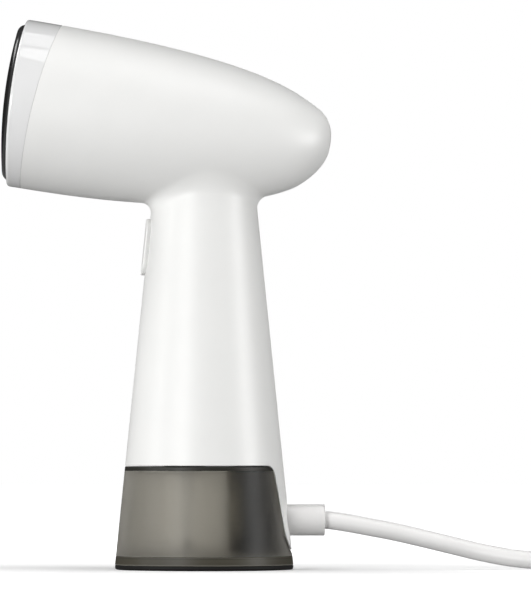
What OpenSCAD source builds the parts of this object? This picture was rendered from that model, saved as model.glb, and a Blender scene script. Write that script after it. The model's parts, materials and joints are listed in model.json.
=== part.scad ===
// Handheld garment steamer, standing on its water tank, with its mains cord stored in a coil beside it.
// All sizes are in millimetres. The origin is the middle of the underside, on the handle's axis.
// +Z is up, and the steam plate faces -X.

/* [Handle] */
// Radius that the handle's cone has at the floor
base_r = 42.4; // [42.2:0.1:42.8]
// Radius that the cone loses for each millimetre of height
taper = 0.1015; // [0.1:0.0005:0.103]
// Thickness of the plastic shells
wall = 2.4; // [2.2:0.1:2.6]

/* [Head] */
// Distance from the handle's axis to the middle of the head's front
face_reach = 86.4; // [85:0.2:88]
// Height of the middle of the head's front
face_z = 220.6; // [219:0.2:222]
// Angle by which the head drops towards its tail
head_tilt = 8.2; // [7.8:0.1:8.6]
// Radius of the head at its front
head_r = 39.7; // [39.6:0.1:40]
// Length of the head from its front to the tip of its tail
head_len = 147.4; // [145:0.2:150]
// Squareness of the head's outline, where 2 is an ellipse
head_power = 2.41; // [2.35:0.01:2.5]
// Angle between the collar's rear seam and the head's front
seam_tilt = 6.2; // [5:0.1:7]

/* [Trigger] */
// Width of the trigger's face
trigger_w = 13; // [12:0.5:14]
// Height of the trigger's face
trigger_h = 26.7; // [26:0.1:27.2]
// Height of the middle of the trigger
trigger_z = 152.5; // [152:0.1:153]
// How far the trigger stands out of the handle
trigger_proud = 1.9; // [1.5:0.1:2.1]

/* [Water tank] */
// Height of the tank's top edge
tank_h = 48.8; // [48.6:0.1:49]
// Thickness of the tank's side wall
tank_wall = 2.2; // [2:0.1:2.4]
// Radius of the tongue's round lower end
tongue_r = 14; // [13.5:0.1:14.2]
// Angle by which the tongue's sides flare out upwards
tongue_flare = 8.5; // [8:0.1:9]

/* [Cord] */
// Diameter of the mains cord
cord_d = 8.4; // [8:0.1:8.5]
// Diameter of the sleeve that the cord leaves through
sleeve_d = 14.8; // [14:0.1:15.5]
// Distance from the handle's axis to the end of the sleeve
sleeve_end = 57.1; // [55:0.1:60]
// Radius of the coil at the middle of its turns
coil_r = 47; // [45:0.5:49]

/* [Hidden] */
$fn = 96;
eps = 0.05;
far = 200;

// Head: every value along the head is a distance u behind its front
head_steps = 18;
seam_u = 9.4;
seam_gap = 0.4;
plate_r = 37.2;
plate_back = -2.2;
plate_front = -8;
plate_dome_r = 258;
plate_t = 2.2;
chamber_r = 29;
seal_u = 10;
cover_u = 10.8;
cover_back = 17.8;
element_r = 20;
element_d = 6.4;
shield_u = 35;
post_r = 34.3;
inlet_x = 9.5;

// Handle: the shells end just above the tank
shell_z = tank_h + 0.3;
floor_z = 56;
floor_t = 3;
floor_r = 33.6;
pipe_x = -8;
pipe_r = 3;
floor_screw_y = 30.5;
board_x = 11.2;
board_t = 1.6;
board_z0 = 72;
board_z1 = 128;

// Trigger and switch
flange_x = -20.8;
flange_t = 1.6;
trigger_gap = 0.35;
plunger_z = 158;
spring_z = 142.2;
switch_x = -14;
guide_x = -16.9;
guide_back = -2;

// Tongue and tank
tongue_z = 23.5;
tongue_x = 12.5;
tongue_gap = 0.3;
// Angle at which the flaring sides leave the round end, so that they cross it and don't only touch it
tongue_sink = 4;
band_z = 6;
foot_t = 2.1;
lid_z = tank_h - 2.1;
corner_r = 4;
filler_pos = [-10, 19];

// Cord: the sleeve, the route to the floor and the coil
cord_z = 23.4;
cord_r = cord_d / 2;
cord_inner_x = 21;
coil_turns = 5.07;
coil_x = 226;
coil_y = 19.5;
coil_out_r = coil_r + cord_d * coil_turns / 4;
coil_in_r = coil_r - cord_d * coil_turns / 4;
cord_route = [
    [cord_inner_x, 0, 23.4], [40, 0, 23.4], [sleeve_end, 0, 23.4], [64, 0, 22.6], [71, 0, 21.4],
    [79, 0, 19.9], [88, 0, 18.2], [98, 0, 16], [108, 0, 13.6], [118, -0.3, 11.2], [128, -1.8, 8.8],
    [138, -5, 6.8], [148, -9.3, 5.3], [158, -13.7, 4.5], [168, -18.1, 4.2], [180, -23.4, 4.2],
    [191, -28.2, 4.2]
];
cord_end_route = [
    [236, -38.1, 12.6], [246, -38.1, 11.9], [257.5, -38.1, 9.9], [269.1, -36.6, 7.3], [280, -32.1, 5.1],
    [289.3, -24.9, 4.3], [296.5, -15.6, 5.4], [301, -4.7, 7.8], [302.5, 7, 9]
];
plug_start = cord_end_route[len(cord_end_route) - 1];
plug_r = 12.5;
plug_half_h = 9;
plug_tail_l = 20;
plug_body_l = 30;
blade_w = 6.35;
blade_t = 1.5;
blade_l = 17;
blade_gap = 12.7;

// Radius of the handle's cone at a height
function handle_r(z) = base_r - taper * z;

// A point given in the head's own frame: x down, y across and u back from the front
function head_point(x, y, u) = [
    u * cos(head_tilt) - x * sin(head_tilt) - face_reach,
    y,
    face_z - u * sin(head_tilt) - x * cos(head_tilt)
];

// Outline of the head from its front to its tail, as radius and distance
function head_outline(inset) = [
    for (i = [0:head_steps])
        let (a = 90 * i / head_steps)
        [(head_r - inset) * pow(cos(a), 2 / head_power), (head_len - 1.4 * inset) * pow(sin(a), 2 / head_power)]
];

function unit(v) = v / norm(v);

function direction(p, i) = unit(p[min(i + 1, len(p) - 1)] - p[max(i - 1, 0)]);

// Rings of points around each point of a path, for swept_tube
function ring_points(p, r, sides, across) = [
    for (i = [0:len(p) - 1])
        let (t = direction(p, i), n = unit(cross(t, across)), b = cross(t, n))
        for (k = [0:sides - 1])
            p[i] + r * (cos(360 * k / sides) * n + sin(360 * k / sides) * b)
];

function tube_faces(rings, sides) = concat(
    [[for (k = [0:sides - 1]) sides - 1 - k]],
    [[for (k = [0:sides - 1]) (rings - 1) * sides + k]],
    [
        for (i = [0:rings - 2], k = [0:sides - 1])
            let (a = i * sides + k, b = i * sides + (k + 1) % sides)
            [a, b, b + sides]
    ],
    [
        for (i = [0:rings - 2], k = [0:sides - 1])
            let (a = i * sides + k, b = i * sides + (k + 1) % sides)
            [a, b + sides, a + sides]
    ]
);

// A closed tube along a path; across is a direction that the path never follows
module swept_tube(p, r, sides = 8, across = [0, 1, 0]) {
    polyhedron(ring_points(p, r, sides, across), tube_faces(len(p), sides));
}

module on_head() {
    translate([-face_reach, 0, face_z]) rotate([0, 90 + head_tilt, 0]) children();
}

module along_x(x, y, z) {
    translate([x, y, z]) rotate([0, 90, 0]) children();
}

// A box between two corners
module span(low, high) {
    translate(low) cube(high - low);
}

// A ring between two radii and two heights
module ring(outer_r, inner_r, z0, z1) {
    translate([0, 0, z0]) difference() {
        cylinder(h = z1 - z0, r = outer_r);
        translate([0, 0, -1]) cylinder(h = z1 - z0 + 2, r = inner_r);
    }
}

module post(x, y, z0, z1, r) {
    translate([x, y, z0]) cylinder(h = z1 - z0, r = r);
}

// Four places around a circle
module four_around(r, start = 0) {
    for (a = [0:90:270]) rotate([0, 0, a + start]) translate([r, 0, 0]) children();
}

// A length of the handle's cone, inset from its surface
module handle_cone(z0, z1, inset) {
    translate([0, 0, z0]) cylinder(h = z1 - z0, r1 = handle_r(z0) - inset, r2 = handle_r(z1) - inset);
}

// The head's revolved solid, with a straight lead in front of it
module head_solid(inset, lead) {
    rotate_extrude() polygon(concat([[0, -lead], [head_r - inset, -lead]], head_outline(inset)));
}

// Everything in front of the collar's slanted rear seam, in the head's frame
module ahead_of_seam(gap) {
    translate([0, 0, seam_u + gap]) rotate([0, seam_tilt, 0]) translate([-60, -60, -60]) cube([120, 120, 60]);
}

// Side view of the tongue: flaring sides on a round lower end
module tongue_outline(r, top) {
    low_z = tongue_z - r * cos(tongue_sink) * sin(tongue_flare);
    low_y = r * cos(tongue_sink) * cos(tongue_flare);
    top_y = low_y + (top - low_z) * tan(tongue_flare);
    translate([0, tongue_z]) circle(r = r);
    polygon([[-low_y, low_z], [low_y, low_z], [top_y, top], [-top_y, top]]);
}

// The two concave corners where the tongue widens into the handle
module tongue_corners(r) {
    low = r * cos(tongue_sink);
    side = low * cos(tongue_flare) + (tank_h - tongue_z + low * sin(tongue_flare)) * tan(tongue_flare);
    reach = corner_r * tan(45 + tongue_flare / 2);
    for (s = [-1, 1]) difference() {
        polygon([
            [s * (side - corner_r), tank_h + eps], [s * (side + reach), tank_h + eps],
            [s * (side + reach), tank_h - corner_r], [s * (side - corner_r), tank_h - corner_r]
        ]);
        translate([s * (side + reach), tank_h - corner_r]) circle(r = corner_r);
        translate([s * (side + reach), tank_h - 2 * corner_r]) circle(r = corner_r);
    }
}

// The tongue's outline pushed along X from a depth outwards
module tongue_block(r, x, top) {
    translate([x, 0, 0]) rotate([90, 0, 90]) linear_extrude(height = 60) tongue_outline(r, top);
}

module corner_block(r, x) {
    translate([x, 0, 0]) rotate([90, 0, 90]) linear_extrude(height = 60) tongue_corners(r);
}

// The trigger's face seen along X: two round ends and straight sides
module trigger_block(grow, x0, x1) {
    w = trigger_w / 2 + grow;
    rise = trigger_h / 2 - trigger_w / 2;
    translate([x0, 0, trigger_z]) rotate([90, 0, 90]) linear_extrude(height = x1 - x0) {
        translate([0, rise]) circle(r = w);
        translate([0, -rise]) circle(r = w);
        translate([-w, -rise]) square([2 * w, 2 * rise]);
    }
}

// The handle's cone above a height, standing on its tongue
module handle_on_tongue(inset, low, r, x, top) {
    difference() {
        handle_cone(1, top, inset);
        difference() {
            span([-60, -60, 0], [60, 60, low]);
            tongue_block(r, x, low + 1);
        }
    }
}

// Both shells in one piece, before ribs and posts are added
module hollow_shell() {
    difference() {
        union() {
            on_head() difference() {
                head_solid(0, 0);
                ahead_of_seam(seam_gap);
            }
            handle_on_tongue(0, shell_z, tongue_r, tongue_x, far);
        }
        on_head() head_solid(wall, 20);
        on_head() translate([0, 0, -5]) cylinder(h = 24, r = head_r - 1.4);
        handle_on_tongue(wall, shell_z - 1, tongue_r - 2, tongue_x + 2.2, far + 5);
        trigger_block(trigger_gap, -45, -15);
        along_x(30, 0, cord_z) cylinder(h = 20, r = sleeve_d / 2 + 0.1);
    }
}

// A flat rib across the handle, from x0 to x1
module inner_rib(z, x0, x1) {
    intersection() {
        handle_cone(z, z + 2, wall - 0.3);
        span([x0, -50, z], [x1, 50, z + 2]);
    }
}

module shell_ribs() {
    difference() {
        handle_cone(floor_z + floor_t, floor_z + floor_t + 2, wall - 0.3);
        post(0, 0, floor_z, floor_z + 10, 31);
    }
    for (z = [79, 115]) difference() {
        inner_rib(z, -40, 2);
        post(pipe_x, 0, z - 1, z + 3, 9.1);
    }
    for (z = [board_z0 - 2, board_z1]) difference() {
        inner_rib(z, board_x - 2, board_x + board_t + 2);
        span([0, -15, z - 1], [30, 15, z + 3]);
    }
    for (s = [-1, 1]) {
        post(0, s * floor_screw_y, floor_z + floor_t, 70, 3.5);
        intersection() {
            post(27.5, s * 8.5, 10, 27.5, 3);
            tongue_block(tongue_r - 0.5, tongue_x + 0.5, 40);
        }
    }
}

module both_shells() {
    difference() {
        union() {
            hollow_shell();
            shell_ribs();
        }
        for (s = [-1, 1]) {
            post(0, s * floor_screw_y, floor_z, 68, 1.55);
            post(27.5, s * 8.5, 17, 28, 1.25);
        }
    }
}

module left_shell() {
    color("white") intersection() {
        both_shells();
        span([-far, -far, -10], [far, 0, 2 * far]);
    }
}

module right_shell() {
    color("white") intersection() {
        both_shells();
        span([-far, 0, -10], [far, far, 2 * far]);
    }
}

module collar() {
    inner = 37;
    color("white") on_head() difference() {
        union() {
            intersection() {
                rotate_extrude() polygon([
                    [30.5, -1.6], [plate_r + 0.1, -1.6], [plate_r + 0.3, -2.3], [38.4, -1.9], [39.3, -0.9],
                    [head_r - 0.05, 0.2], [head_r, 1], [head_r - 0.05, 16], [inner, 16], [inner, 1.4], [30.5, 1.4]
                ]);
                ahead_of_seam(0);
            }
            ring(38, inner, 1.4, 18);
            four_around(post_r) post(0, 0, 1.3, 3.7, 2.4);
        }
        four_around(post_r) post(0, 0, -0.6, 4, 1.45);
    }
}

// Height of the plate's dome at a radius
function dome(r, start) = start + r * r / (2 * plate_dome_r);

module steam_plate() {
    color([0.1, 0.1, 0.11]) on_head() difference() {
        rotate_extrude() polygon(concat(
            [for (r = [0:6:30]) [r, dome(r, plate_front)]],
            [[33.5, -5.7], [35.6, -5.1], [36.7, -4.3], [plate_r, -3.4]],
            [[plate_r, -2.6], [36.8, plate_back], [28, plate_back], [27, -3.2]],
            [for (r = [24:-6:0]) [r, dome(r, plate_front + plate_t)]]
        ));
        for (a = [0:30:330]) rotate([0, 0, a]) post(21, 0, -10, -1, 1.3);
        for (a = [0:60:300]) rotate([0, 0, a + 15]) post(10.5, 0, -10, -1, 1.3);
    }
}

module plate_gasket() {
    color("dimgray") on_head() ring(36.5, 31.5, plate_back, -1.6);
}

module steam_chamber() {
    color("silver") on_head() difference() {
        union() {
            post(0, 0, plate_back, seal_u, chamber_r);
            post(0, 0, 1.7, 3.7, 31.6);
        }
        difference() {
            post(0, 0, 1, seal_u + 1, 24);
            ring(12, 10, 0, 8);
        }
        span([-2, -20, 1], [2, 20, 8]);
        for (a = [0:45:315]) rotate([0, 0, a + 22.5]) post(18, 0, -4, 2, 1.6);
        four_around(26.5, 45) post(0, 0, 3, seal_u + 1, 1.45);
    }
}

module chamber_seal() {
    color("firebrick") on_head() difference() {
        ring(28.8, 24.2, seal_u, cover_u);
        four_around(26.5, 45) post(0, 0, 9, 12, 1.6);
    }
}

module chamber_cover() {
    color("silver") on_head() difference() {
        post(0, 0, cover_u, cover_back, chamber_r);
        translate([0, 0, cover_back - 0.5]) rotate_extrude() translate([element_r, 0]) circle(d = element_d + 0.1);
        post(inlet_x, 0, 9, 20, 2.6);
        four_around(26.5, 45) post(0, 0, 9, 20, 1.55);
    }
}

module heating_element() {
    arc = 300;
    start = (360 - arc) / 2;
    color("dimgray") on_head() translate([0, 0, cover_back - 0.5]) {
        rotate([0, 0, start]) rotate_extrude(angle = arc) translate([element_r, 0]) circle(d = element_d);
        for (a = [start, -start]) rotate([0, 0, a]) translate([element_r, 0, 0]) cylinder(h = 13, r = 2.2);
    }
}

module chamber_screws() {
    color("gray") on_head() four_around(26.5, 45) difference() {
        union() {
            post(0, 0, cover_back, cover_back + 2, 2.5);
            post(0, 0, 4, cover_back + 1, 1.4);
        }
        translate([0, 0, cover_back + 1]) cylinder(h = 2, r = 1.3, $fn = 6);
    }
}

module steam_inlet() {
    color("gold") on_head() translate([inlet_x, 0, 0]) difference() {
        union() {
            post(0, 0, 12, cover_back, 2.5);
            translate([0, 0, cover_back]) cylinder(h = 3.2, r = 4.3, $fn = 6);
            post(0, 0, cover_back + 3, 31, 2.4);
        }
        post(0, 0, 11, 32, 1.2);
    }
}

module thermostat() {
    color("tan") on_head() translate([-8.5, 0, 0]) {
        post(0, 0, cover_back, 23, 7.3);
        post(0, 0, 22.9, 25.5, 5);
        for (s = [-1, 1]) span([-2, s * 3 - 0.4, 25.4], [2, s * 3 + 0.4, 32]);
    }
}

module thermal_fuse() {
    color("silver") on_head() translate([1.6, 0, cover_back + 1.6]) rotate([90, 0, 0]) {
        cylinder(h = 12, r = 1.5, center = true);
        cylinder(h = 20, r = 0.5, center = true);
    }
}

module heat_shield() {
    color("gainsboro") on_head() {
        difference() {
            post(0, 0, shield_u, shield_u + 0.8, 34);
            post(inlet_x, 0, 30, 40, 4.6);
            for (s = [-1, 1]) rotate([0, 0, s * 30]) post(element_r, 0, 30, 40, 2.6);
        }
        for (s = [-1, 1]) span([-3, s * 27 - 0.6, cover_back], [3, s * 27 + 0.6, shield_u + 0.4]);
    }
}

module chamber_bracket() {
    color("darkslategray") on_head() difference() {
        ring(36, 29.4, 3.7, 6.7);
        four_around(post_r) post(0, 0, 3, 8, 1.5);
    }
}

module collar_screws() {
    color("gray") on_head() four_around(post_r) difference() {
        union() {
            post(0, 0, 6.7, 8.5, 2.3);
            post(0, 0, -0.4, 7, 1.4);
        }
        translate([0, 0, 7.5]) cylinder(h = 2, r = 1.1, $fn = 6);
    }
}

module outlet_hose() {
    route = [
        head_point(inlet_x, 0, 26), head_point(inlet_x, 0, 33), head_point(inlet_x, 0, 41),
        head_point(inlet_x, 0, 49), [-27, 0, 200.5], [-17.5, 0, 195], [-9.3, 0, 187.5], [-2.8, 0, 179.5],
        [1.2, 0, 171], [3.2, 0, 161.5], [3.6, 0, 152], [3.4, 0, 143], [1.8, 0, 136], [-2, 0, 131.5],
        [-5.6, 0, 128.4], [-7.6, 0, 125.4], [pipe_x, 0, 122]
    ];
    color("lightblue") swept_tube(route, 3.4);
}

module pump_body() {
    color("black") translate([pipe_x, 0, 0]) difference() {
        union() {
            post(0, 0, 77, 119, 4.5);
            post(0, 0, 71, 78, 2.4);
            post(0, 0, 118, 126, 2.4);
        }
        post(0, 0, 70, 127, 1.2);
    }
}

module pump_coil() {
    color("saddlebrown") translate([pipe_x, 0, 0]) ring(10.4, 4.6, 84.2, 111.8);
}

module pump_yoke() {
    color("slategray") translate([pipe_x, 0, 0]) difference() {
        span([-13, -9, 82], [13, 9, 114]);
        span([-11, -10, 84], [11, 10, 112]);
        post(0, 0, 80, 116, 4.6);
    }
}

module pump_mounts() {
    color("dimgray") translate([pipe_x, 0, 0]) {
        ring(9, 4.6, 78, 82);
        ring(9, 4.6, 114, 118);
    }
}

module inlet_hose() {
    color("lightblue") translate([pipe_x, 0, 0]) ring(4, 2.45, 61.2, 76.8);
}

module intake_pipe() {
    color("lightgray") translate([pipe_x, 0, 0]) difference() {
        union() {
            post(0, 0, 9, 60, pipe_r);
            post(0, 0, floor_z + floor_t, 61, 7);
            post(0, 0, 60.9, 67, 2.4);
        }
        post(0, 0, 8, 60, 1.8);
        post(0, 0, 59, 68, 1.4);
    }
}

module intake_filter() {
    color("orange") post(pipe_x, 0, 9.5, 14, 1.75);
}

module control_board() {
    color("seagreen") difference() {
        span([board_x, -18, board_z0], [board_x + board_t, 18, board_z1]);
        for (z = [board_z0 + 4, board_z1 - 4], s = [-1, 1]) along_x(board_x - 1, s * 15, z) cylinder(h = 4, r = 1.2);
    }
}

// Terminal blocks, relay, capacitor and triac on the board
module board_parts() {
    back = board_x + board_t;
    color("dodgerblue") {
        span([back, -10, 74], [back + 9, 10, 84]);
        span([back, -8, 119], [back + 8, 8, 127]);
        span([back, -8, 97], [back + 13, 8, 116]);
        span([back, -13, 86.5], [back + 8, 3, 94]);
        span([back, 6, 86], [back + 4, 15, 95.5]);
    }
}

module microswitch() {
    color("black") difference() {
        span([switch_x, -3.2, 145.8], [-4, 3.2, 165.4]);
        along_x(switch_x - 1, 0, plunger_z) cylinder(h = 6.5, r = 1.3);
        for (z = [149, 163]) translate([-7, 0, z]) rotate([90, 0, 0]) cylinder(h = 8, r = 1, center = true);
    }
}

module trigger_guide() {
    color("lightgray") difference() {
        span([guide_x, -9.5, 137], [guide_back, 9.5, 168]);
        span([guide_x - 1, -7.8, 139], [-4, 7.8, 166]);
        for (s = [-1, 1]) along_x(-5, s * 2.2, 153) cylinder(h = 5, r = 1.1);
    }
}

module handle_floor() {
    color("lightgray") difference() {
        union() {
            post(0, 0, floor_z, floor_z + floor_t, floor_r);
            post(pipe_x, 0, 53, floor_z + 1, 5.5);
        }
        post(pipe_x, 0, 50, 60, pipe_r + 0.2);
        span([15, -10, 50], [29, 10, 62]);
        for (s = [-1, 1]) post(0, s * floor_screw_y, 50, 60, 1.6);
    }
}

module floor_screws() {
    color("gray") for (s = [-1, 1]) translate([0, s * floor_screw_y, 0]) difference() {
        union() {
            post(0, 0, floor_z - 2.2, floor_z, 2.6);
            post(0, 0, floor_z - 1, 67, 1.5);
        }
        translate([0, 0, floor_z - 3]) cylinder(h = 2, r = 1.2, $fn = 6);
    }
}

module mains_wires() {
    color("peru") for (k = [-1:1]) swept_tube([
        [cord_inner_x, k * 2.6, 23.4], [19.8, k * 2.6, 23.4], [18.4, k * 2.8, 24.8], [17.4, k * 3.4, 31],
        [17.4, k * 3.9, 40], [17.6, k * 4, 52], [17.8, k * 4, 64], [17.8, k * 4, 74]
    ], 1.1);
}

module heater_wires() {
    x = element_r * cos(30);
    color("firebrick") for (s = [-1, 1]) swept_tube([
        head_point(x, s * 10, cover_back + 12.5), head_point(x, s * 10, 38), head_point(x, s * 10.2, 50),
        [-26, s * 10.6, 192.5], [-12, s * 11, 187.5], [-1, s * 11, 179], [5, s * 11, 168], [9, s * 10.5, 154],
        [13, s * 9, 141], [16, s * 6.5, 133], [16.8, s * 5, 127]
    ], 1.1);
}

module switch_wires() {
    color("royalblue") for (s = [-1, 1]) swept_tube([
        [-4, s * 2.2, 153], [-1.6, s * 2.2, 153], [-0.4, s * 3.6, 152.4], [0.8, s * 6, 149.6],
        [3.4, s * 7.8, 143.5], [6, s * 9, 135.5], [8, s * 9.4, 128.4], [9.6, s * 9.4, 126.4],
        [board_x, s * 9.4, 126.4]
    ], 0.8);
}

module cord_sleeve() {
    color("whitesmoke") along_x(0, 0, cord_z) difference() {
        union() {
            post(0, 0, 36, sleeve_end - 0.6, sleeve_d / 2);
            translate([0, 0, sleeve_end - 0.6]) cylinder(h = 0.6, r1 = sleeve_d / 2, r2 = sleeve_d / 2 - 0.6);
            post(0, 0, 33.4, 36.1, 9.4);
        }
        post(0, 0, 30, sleeve_end + 1, cord_r + 0.1);
    }
}

module cord_clamp() {
    color("lightgray") difference() {
        span([24, -11.4, 27.7], [31, 11.4, 30.4]);
        for (s = [-1, 1]) post(27.5, s * 8.5, 26, 32, 1.5);
    }
}

module clamp_screws() {
    color("gray") for (s = [-1, 1]) translate([27.5, s * 8.5, 0]) difference() {
        union() {
            post(0, 0, 30.4, 32.2, 2.4);
            post(0, 0, 18, 31, 1.2);
        }
        translate([0, 0, 31.4]) cylinder(h = 2, r = 1.1, $fn = 6);
    }
}

module trigger() {
    color("white") {
        intersection() {
            trigger_block(0, -45, flange_x + flange_t);
            handle_cone(120, 180, -trigger_proud);
        }
        span([flange_x, -8.2, 137.4], [flange_x + flange_t, 8.2, 167.6]);
        along_x(flange_x + flange_t - eps, 0, plunger_z) cylinder(h = 3 + eps, r = 3);
    }
}

module switch_plunger() {
    color("firebrick") along_x(flange_x + flange_t + 3, 0, plunger_z) cylinder(h = 5.3, r = 1.2);
}

module trigger_spring() {
    x0 = flange_x + flange_t + 0.5;
    x1 = -4.5;
    turns = 7;
    steps = 12 * turns;
    coil = [
        for (i = [0:steps])
            let (a = 360 * i / 12)
            [x0 + (x1 - x0) * i / steps, 2.2 * cos(a), spring_z + 2.2 * sin(a)]
    ];
    color("silver") swept_tube(coil, 0.35, 6, [1, 0, 0]);
}

module tank_body() {
    color([0.4, 0.38, 0.35, 0.7]) difference() {
        handle_cone(band_z, lid_z, 0);
        tongue_block(tongue_r + tongue_gap, tongue_x - tongue_gap, tank_h + 1);
        difference() {
            handle_cone(band_z - 1, lid_z + 1, tank_wall);
            tongue_block(tongue_r + tongue_gap + 1.6, tongue_x - tongue_gap - 1.6, tank_h + 1);
        }
    }
}

module tank_base() {
    color([0.35, 0.33, 0.3, 0.8]) {
        handle_cone(foot_t, band_z, 0);
        ring(handle_r(band_z + 1.6) - tank_wall - 0.1, 34, band_z - 0.5, band_z + 1.5);
    }
}

module tank_lid() {
    color([0.2, 0.2, 0.19]) difference() {
        union() {
            handle_cone(lid_z, tank_h, 0);
            ring(34.2, 32.4, tank_h - 1, 52.6);
        }
        tongue_block(tongue_r + tongue_gap, tongue_x - tongue_gap, tank_h + 6);
        corner_block(tongue_r + tongue_gap, tongue_x - tongue_gap);
        post(pipe_x, 0, 40, 60, 7);
        post(filler_pos[0], filler_pos[1], 40, 60, 7.5);
    }
}

module tank_grommet() {
    color("dimgray") translate([pipe_x, 0, 0]) difference() {
        union() {
            post(0, 0, lid_z - 0.4, tank_h + 0.2, 6.9);
            post(0, 0, tank_h, tank_h + 1.2, 8.4);
        }
        post(0, 0, 40, 60, pipe_r + 0.08);
    }
}

module foot_pad() {
    edge = handle_r(foot_t);
    color([0.12, 0.12, 0.1]) rotate_extrude() polygon([
        [0, 0], [edge - 1.2, 0], [edge - 0.5, 0.3], [edge - 0.1, 0.9], [edge, 1.4], [edge, foot_t], [0, foot_t]
    ]);
}

module filler_stopper() {
    color("dimgray") translate([filler_pos[0], filler_pos[1], 0]) {
        post(0, 0, lid_z - 0.7, tank_h + 0.1, 7.4);
        post(0, 0, tank_h, tank_h + 1.8, 9.4);
    }
}

module power_cord() {
    color("whitesmoke") swept_tube(cord_route, cord_r, 12);
}

// The closed outer shape of the coil's two layers of turns
module cord_coil() {
    color("whitesmoke") translate([coil_x, coil_y, 0]) ring(coil_out_r + cord_r, coil_in_r - cord_r, 0, 2 * cord_d);
}

module cord_end() {
    color("whitesmoke") swept_tube(cord_end_route, cord_r, 12, [0, 0, 1]);
}

// A frame whose +Z runs along the plug towards its blades
module on_plug() {
    translate(plug_start) rotate([-90, 0, 0]) children();
}

module plug_tail() {
    color("whitesmoke") on_plug() cylinder(h = plug_tail_l, r1 = 5.2, r2 = 7.6);
}

module plug_body() {
    back = plug_tail_l;
    front = plug_tail_l + plug_body_l;
    color("whitesmoke") on_plug() intersection() {
        rotate_extrude() polygon([
            [0, back], [8.5, back], [10.5, back + 1.2], [11.6, back + 4], [12, back + 12], [11.4, back + 18],
            [plug_r - 0.3, back + 23], [plug_r, back + 25], [plug_r, front - 1], [plug_r - 1, front], [0, front]
        ]);
        span([-20, -plug_half_h, 0], [20, plug_half_h, 100]);
    }
}

module plug_pins() {
    front = plug_start[1] + plug_tail_l + plug_body_l;
    color("silver") for (s = [-1, 1]) translate([plug_start[0] + s * blade_gap / 2, front, plug_start[2]])
        span([-blade_t / 2, 0, -blade_w / 2], [blade_t / 2, blade_l, blade_w / 2]);
}

left_shell();
right_shell();
collar();
steam_plate();
plate_gasket();
steam_chamber();
chamber_seal();
chamber_cover();
heating_element();
chamber_screws();
steam_inlet();
thermostat();
thermal_fuse();
heat_shield();
chamber_bracket();
collar_screws();
outlet_hose();
pump_body();
pump_coil();
pump_yoke();
pump_mounts();
inlet_hose();
intake_pipe();
intake_filter();
control_board();
board_parts();
microswitch();
trigger_guide();
handle_floor();
floor_screws();
mains_wires();
heater_wires();
switch_wires();
cord_sleeve();
cord_clamp();
clamp_screws();
trigger();
switch_plunger();
trigger_spring();
tank_body();
tank_base();
tank_lid();
tank_grommet();
foot_pad();
filler_stopper();
power_cord();
cord_coil();
cord_end();
plug_tail();
plug_body();
plug_pins();
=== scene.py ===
"""Looks of a handheld garment steamer that stands on its smoky water tank.

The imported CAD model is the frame. Its hard outer pieces are rebuilt here with rounded edges and one smooth
surface, and its inner pieces keep their shapes and get better materials. Sizes in this script are in
millimetres and become metres where a mesh is made.
"""

import json
import math

import bpy
import numpy as np
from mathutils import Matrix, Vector


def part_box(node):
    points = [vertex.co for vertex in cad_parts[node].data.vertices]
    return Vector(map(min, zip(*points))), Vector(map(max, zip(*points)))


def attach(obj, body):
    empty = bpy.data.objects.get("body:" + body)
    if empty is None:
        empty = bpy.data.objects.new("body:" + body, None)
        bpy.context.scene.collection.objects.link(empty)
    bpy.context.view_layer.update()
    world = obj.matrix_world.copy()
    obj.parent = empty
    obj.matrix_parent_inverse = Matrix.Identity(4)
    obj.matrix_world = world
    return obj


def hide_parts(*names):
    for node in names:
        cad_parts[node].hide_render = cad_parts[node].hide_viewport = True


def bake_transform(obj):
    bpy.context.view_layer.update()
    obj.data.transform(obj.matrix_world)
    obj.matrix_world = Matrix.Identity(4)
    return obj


MM = 0.001

# ---------------------------------------------------------------- the frame
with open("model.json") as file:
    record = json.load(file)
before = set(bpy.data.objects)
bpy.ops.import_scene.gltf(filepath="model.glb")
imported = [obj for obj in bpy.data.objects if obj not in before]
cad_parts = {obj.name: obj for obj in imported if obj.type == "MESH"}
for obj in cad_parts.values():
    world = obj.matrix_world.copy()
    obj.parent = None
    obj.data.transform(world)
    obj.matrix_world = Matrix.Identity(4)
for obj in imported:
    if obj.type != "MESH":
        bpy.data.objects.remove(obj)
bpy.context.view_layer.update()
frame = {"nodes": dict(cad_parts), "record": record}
scene = bpy.context.scene


def low_high(node):
    """A node's lowest and highest corners in millimetres."""
    low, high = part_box(node)
    return np.array(low) / MM, np.array(high) / MM


# ---------------------------------------------------------------- camera, in metres
CAMERA_X, CAMERA_BACK, CAMERA_Z, AIM_Z = 0.029, 2.84, 0.059, 0.1275
camera = bpy.data.objects.new("camera", bpy.data.cameras.new("camera"))
scene.collection.objects.link(camera)
camera.data.lens = 360
camera.data.sensor_width = 36
camera.data.clip_end = 20
camera.location = (CAMERA_X, -CAMERA_BACK, CAMERA_Z)
aim = Vector((CAMERA_X, 0.0, AIM_Z))
camera.rotation_euler = (aim - camera.location).to_track_quat("-Z", "Y").to_euler()
scene.camera = camera

# ---------------------------------------------------------------- dimensions, as in the CAD part
WALL = 2.4
FOOT_TOP, BAND_TOP = 2.1, 6.5
LID_THICK = 2.1  # what shows of the lid
LID_LOW = low_high("tank_lid")[0][2]
TANK_TOP = LID_LOW + LID_THICK
SHELL_END = TANK_TOP + 0.3

# The handle's cone: its radius at the floor, what it loses per millimetre, and its end inside the head
BASE_R, TAPER, CONE_TOP = 42.4, 0.1015, 200.0

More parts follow.
